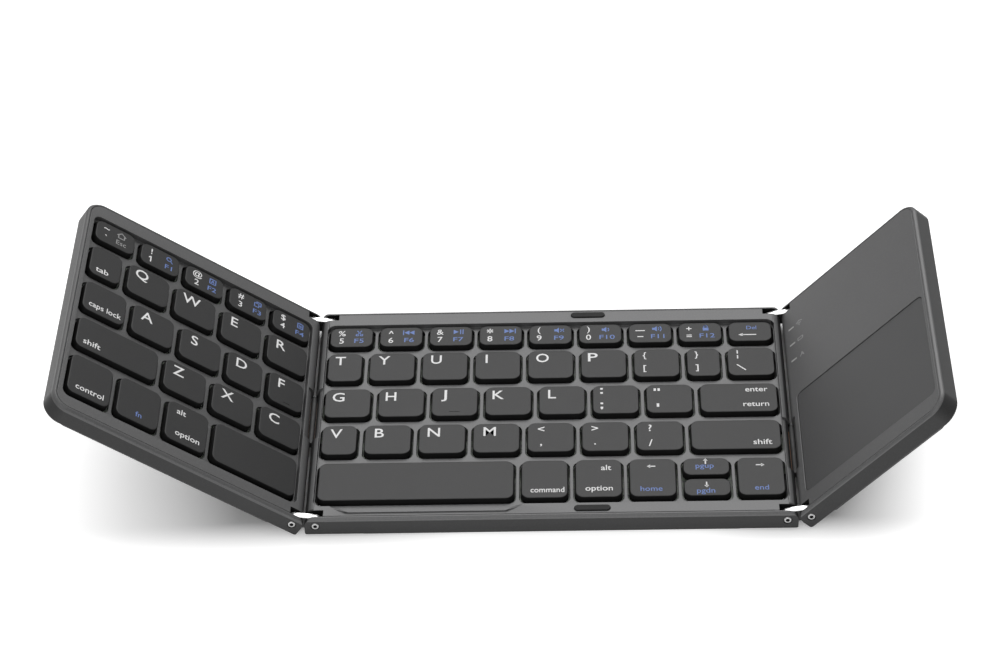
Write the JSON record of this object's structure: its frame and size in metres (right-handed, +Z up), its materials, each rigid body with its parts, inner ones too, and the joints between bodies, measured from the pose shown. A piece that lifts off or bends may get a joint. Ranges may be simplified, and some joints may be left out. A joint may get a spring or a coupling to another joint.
{
  "type": "folding keyboard",
  "caption": "Folding keyboard with a touchpad: a centre panel and side wings that fold face down over it on double-pivot links, with sprung keys.",
  "frame": {"origin": "middle of the centre panel's underside, on the face of its middle foot, at table height", "axes": "+X along the keyboard to the typist's right, +Y away from the typist, +Z up; the wings are raised on both sides as in the picture"},
  "size_m": [0.2731, 0.098, 0.0577],
  "materials": {
    "shell_plastic": "fine matt, dark grey",
    "frame_plastic": "fine matt, mid grey",
    "wing_frame_plastic": "fine matt, dark grey",
    "keycap_plastic": "smooth matt, near black",
    "touchpad_film": "smooth satin film",
    "link_steel": "satin plated",
    "pin_steel": "bright turned",
    "screw_steel": "bright plated",
    "plate_steel": "stamped sheet",
    "membrane_film": "clear film with printed tracks",
    "dome_silicone": "translucent silicone",
    "scissor_plastic": "moulded",
    "foot_rubber": "matt",
    "bumper_rubber": "matt",
    "sleeve_rubber": "matt",
    "board_laminate": "solder mask",
    "battery_foil": "foil pouch",
    "socket_steel": "drawn",
    "lamp_plastic": "translucent"
  },
  "bodies": {
    "centre": {"centre_bottom_shell": "shell_plastic", "centre_top_frame": "frame_plastic", "centre_support_plate": "plate_steel", "centre_membrane": "membrane_film", "centre_domes": "dome_silicone", "centre_scissors": "scissor_plastic", "centre_feet": "foot_rubber", "centre_screws": "screw_steel", "centre_hinge_pins": "pin_steel", "rest_bumpers": "bumper_rubber"},
    "left_link": {"left_hinge_links": "link_steel", "left_cable_sleeve": "sleeve_rubber", "left_flex_cable": "membrane_film"},
    "left_wing": {"left_bottom_shell": "shell_plastic", "left_top_frame": "wing_frame_plastic", "left_support_plate": "plate_steel", "left_membrane": "membrane_film", "left_domes": "dome_silicone", "left_scissors": "scissor_plastic", "left_feet": "foot_rubber", "left_screws": "screw_steel", "left_hinge_pins": "pin_steel"},
    "right_link": {"right_hinge_links": "link_steel", "right_cable_sleeve": "sleeve_rubber", "right_flex_cable": "membrane_film"},
    "right_wing": {"right_bottom_shell": "shell_plastic", "right_top_cover": "wing_frame_plastic", "touchpad": "touchpad_film", "touch_board": "board_laminate", "main_board": "board_laminate", "battery": "battery_foil", "charging_socket": "socket_steel", "light_pipes": "lamp_plastic", "right_feet": "foot_rubber", "right_screws": "screw_steel", "right_hinge_pins": "pin_steel"},
    "left_number_keys": {"left_number_keys": "keycap_plastic"},
    "left_q_keys": {"left_q_keys": "keycap_plastic"},
    "left_a_keys": {"left_a_keys": "keycap_plastic"},
    "left_z_keys": {"left_z_keys": "keycap_plastic"},
    "tab_key": {"tab_key": "keycap_plastic"},
    "caps_lock_key": {"caps_lock_key": "keycap_plastic"},
    "left_shift_key": {"left_shift_key": "keycap_plastic"},
    "control_key": {"control_key": "keycap_plastic"},
    "fn_key": {"fn_key": "keycap_plastic"},
    "left_option_key": {"left_option_key": "keycap_plastic"},
    "left_space_bar": {"left_space_bar": "keycap_plastic"},
    "centre_number_keys": {"centre_number_keys": "keycap_plastic"},
    "centre_t_keys": {"centre_t_keys": "keycap_plastic"},
    "centre_g_keys": {"centre_g_keys": "keycap_plastic"},
    "centre_v_keys": {"centre_v_keys": "keycap_plastic"},
    "enter_key": {"enter_key": "keycap_plastic"},
    "right_shift_key": {"right_shift_key": "keycap_plastic"},
    "right_space_bar": {"right_space_bar": "keycap_plastic"},
    "command_key": {"command_key": "keycap_plastic"},
    "right_option_key": {"right_option_key": "keycap_plastic"},
    "left_arrow_key": {"left_arrow_key": "keycap_plastic"},
    "up_arrow_key": {"up_arrow_key": "keycap_plastic"},
    "down_arrow_key": {"down_arrow_key": "keycap_plastic"},
    "right_arrow_key": {"right_arrow_key": "keycap_plastic"}
  },
  "joints": [
    {"name": "left_link_hinge", "type": "hinge", "parent": "centre", "child": "left_link", "pos_m": [-0.07265, 0, 0.00445], "axis": [0, 1, 0], "range_deg": [-8, 82], "deforming": ["left_flex_cable"]},
    {"name": "left_wing_hinge", "type": "hinge", "parent": "left_link", "child": "left_wing", "pos_m": [-0.07988, 0, 0.00547], "axis": [0, 1, 0], "range_deg": [-27.7, 62.3], "deforming": ["left_flex_cable"]},
    {"name": "right_link_hinge", "type": "hinge", "parent": "centre", "child": "right_link", "pos_m": [0.07265, 0, 0.00445], "axis": [0, -1, 0], "range_deg": [-10, 80], "deforming": ["right_flex_cable"]},
    {"name": "right_wing_hinge", "type": "hinge", "parent": "right_link", "child": "right_wing", "pos_m": [0.07984, 0, 0.00572], "axis": [0, -1, 0], "range_deg": [-37.8, 52.2], "deforming": ["right_flex_cable"]},
    {"name": "left_number_keys_press", "type": "slide", "parent": "left_wing", "child": "left_number_keys", "axis": [-0.5835, 0, -0.8121], "range_m": [0, 0.0012], "stiffness_N_per_m": 400, "springref_m": -0.0004, "deforming": ["left_domes", "left_scissors"]},
    {"name": "left_q_keys_press", "type": "slide", "parent": "left_wing", "child": "left_q_keys", "axis": [-0.5835, 0, -0.8121], "range_m": [0, 0.0012], "stiffness_N_per_m": 400, "springref_m": -0.0004, "deforming": ["left_domes", "left_scissors"]},
    {"name": "left_a_keys_press", "type": "slide", "parent": "left_wing", "child": "left_a_keys", "axis": [-0.5835, 0, -0.8121], "range_m": [0, 0.0012], "stiffness_N_per_m": 400, "springref_m": -0.0004, "deforming": ["left_domes", "left_scissors"]},
    {"name": "left_z_keys_press", "type": "slide", "parent": "left_wing", "child": "left_z_keys", "axis": [-0.5835, 0, -0.8121], "range_m": [0, 0.0012], "stiffness_N_per_m": 400, "springref_m": -0.0004, "deforming": ["left_domes", "left_scissors"]},
    {"name": "tab_key_press", "type": "slide", "parent": "left_wing", "child": "tab_key", "axis": [-0.5835, 0, -0.8121], "range_m": [0, 0.0012], "stiffness_N_per_m": 400, "springref_m": -0.0004, "deforming": ["left_domes", "left_scissors"]},
    {"name": "caps_lock_key_press", "type": "slide", "parent": "left_wing", "child": "caps_lock_key", "axis": [-0.5835, 0, -0.8121], "range_m": [0, 0.0012], "stiffness_N_per_m": 400, "springref_m": -0.0004, "deforming": ["left_domes", "left_scissors"]},
    {"name": "left_shift_key_press", "type": "slide", "parent": "left_wing", "child": "left_shift_key", "axis": [-0.5835, 0, -0.8121], "range_m": [0, 0.0012], "stiffness_N_per_m": 400, "springref_m": -0.0004, "deforming": ["left_domes", "left_scissors"]},
    {"name": "control_key_press", "type": "slide", "parent": "left_wing", "child": "control_key", "axis": [-0.5835, 0, -0.8121], "range_m": [0, 0.0012], "stiffness_N_per_m": 400, "springref_m": -0.0004, "deforming": ["left_domes", "left_scissors"]},
    {"name": "fn_key_press", "type": "slide", "parent": "left_wing", "child": "fn_key", "axis": [-0.5835, 0, -0.8121], "range_m": [0, 0.0012], "stiffness_N_per_m": 400, "springref_m": -0.0004, "deforming": ["left_domes", "left_scissors"]},
    {"name": "left_option_key_press", "type": "slide", "parent": "left_wing", "child": "left_option_key", "axis": [-0.5835, 0, -0.8121], "range_m": [0, 0.0012], "stiffness_N_per_m": 400, "springref_m": -0.0004, "deforming": ["left_domes", "left_scissors"]},
    {"name": "left_space_bar_press", "type": "slide", "parent": "left_wing", "child": "left_space_bar", "axis": [-0.5835, 0, -0.8121], "range_m": [0, 0.0012], "stiffness_N_per_m": 400, "springref_m": -0.0004, "deforming": ["left_domes", "left_scissors"]},
    {"name": "centre_number_keys_press", "type": "slide", "parent": "centre", "child": "centre_number_keys", "axis": [0, 0, -1], "range_m": [0, 0.0012], "stiffness_N_per_m": 400, "springref_m": -0.0004, "deforming": ["centre_domes", "centre_scissors"]},
    {"name": "centre_t_keys_press", "type": "slide", "parent": "centre", "child": "centre_t_keys", "axis": [0, 0, -1], "range_m": [0, 0.0012], "stiffness_N_per_m": 400, "springref_m": -0.0004, "deforming": ["centre_domes", "centre_scissors"]},
    {"name": "centre_g_keys_press", "type": "slide", "parent": "centre", "child": "centre_g_keys", "axis": [0, 0, -1], "range_m": [0, 0.0012], "stiffness_N_per_m": 400, "springref_m": -0.0004, "deforming": ["centre_domes", "centre_scissors"]},
    {"name": "centre_v_keys_press", "type": "slide", "parent": "centre", "child": "centre_v_keys", "axis": [0, 0, -1], "range_m": [0, 0.0012], "stiffness_N_per_m": 400, "springref_m": -0.0004, "deforming": ["centre_domes", "centre_scissors"]},
    {"name": "enter_key_press", "type": "slide", "parent": "centre", "child": "enter_key", "axis": [0, 0, -1], "range_m": [0, 0.0012], "stiffness_N_per_m": 400, "springref_m": -0.0004, "deforming": ["centre_domes", "centre_scissors"]},
    {"name": "right_shift_key_press", "type": "slide", "parent": "centre", "child": "right_shift_key", "axis": [0, 0, -1], "range_m": [0, 0.0012], "stiffness_N_per_m": 400, "springref_m": -0.0004, "deforming": ["centre_domes", "centre_scissors"]},
    {"name": "right_space_bar_press", "type": "slide", "parent": "centre", "child": "right_space_bar", "axis": [0, 0, -1], "range_m": [0, 0.0012], "stiffness_N_per_m": 400, "springref_m": -0.0004, "deforming": ["centre_domes", "centre_scissors"]},
    {"name": "command_key_press", "type": "slide", "parent": "centre", "child": "command_key", "axis": [0, 0, -1], "range_m": [0, 0.0012], "stiffness_N_per_m": 400, "springref_m": -0.0004, "deforming": ["centre_domes", "centre_scissors"]},
    {"name": "right_option_key_press", "type": "slide", "parent": "centre", "child": "right_option_key", "axis": [0, 0, -1], "range_m": [0, 0.0012], "stiffness_N_per_m": 400, "springref_m": -0.0004, "deforming": ["centre_domes", "centre_scissors"]},
    {"name": "left_arrow_key_press", "type": "slide", "parent": "centre", "child": "left_arrow_key", "axis": [0, 0, -1], "range_m": [0, 0.0012], "stiffness_N_per_m": 400, "springref_m": -0.0004, "deforming": ["centre_domes", "centre_scissors"]},
    {"name": "up_arrow_key_press", "type": "slide", "parent": "centre", "child": "up_arrow_key", "axis": [0, 0, -1], "range_m": [0, 0.0012], "stiffness_N_per_m": 400, "springref_m": -0.0004, "deforming": ["centre_domes", "centre_scissors"]},
    {"name": "down_arrow_key_press", "type": "slide", "parent": "centre", "child": "down_arrow_key", "axis": [0, 0, -1], "range_m": [0, 0.0012], "stiffness_N_per_m": 400, "springref_m": -0.0004, "deforming": ["centre_domes", "centre_scissors"]},
    {"name": "right_arrow_key_press", "type": "slide", "parent": "centre", "child": "right_arrow_key", "axis": [0, 0, -1], "range_m": [0, 0.0012], "stiffness_N_per_m": 400, "springref_m": -0.0004, "deforming": ["centre_domes", "centre_scissors"]}
  ]
}
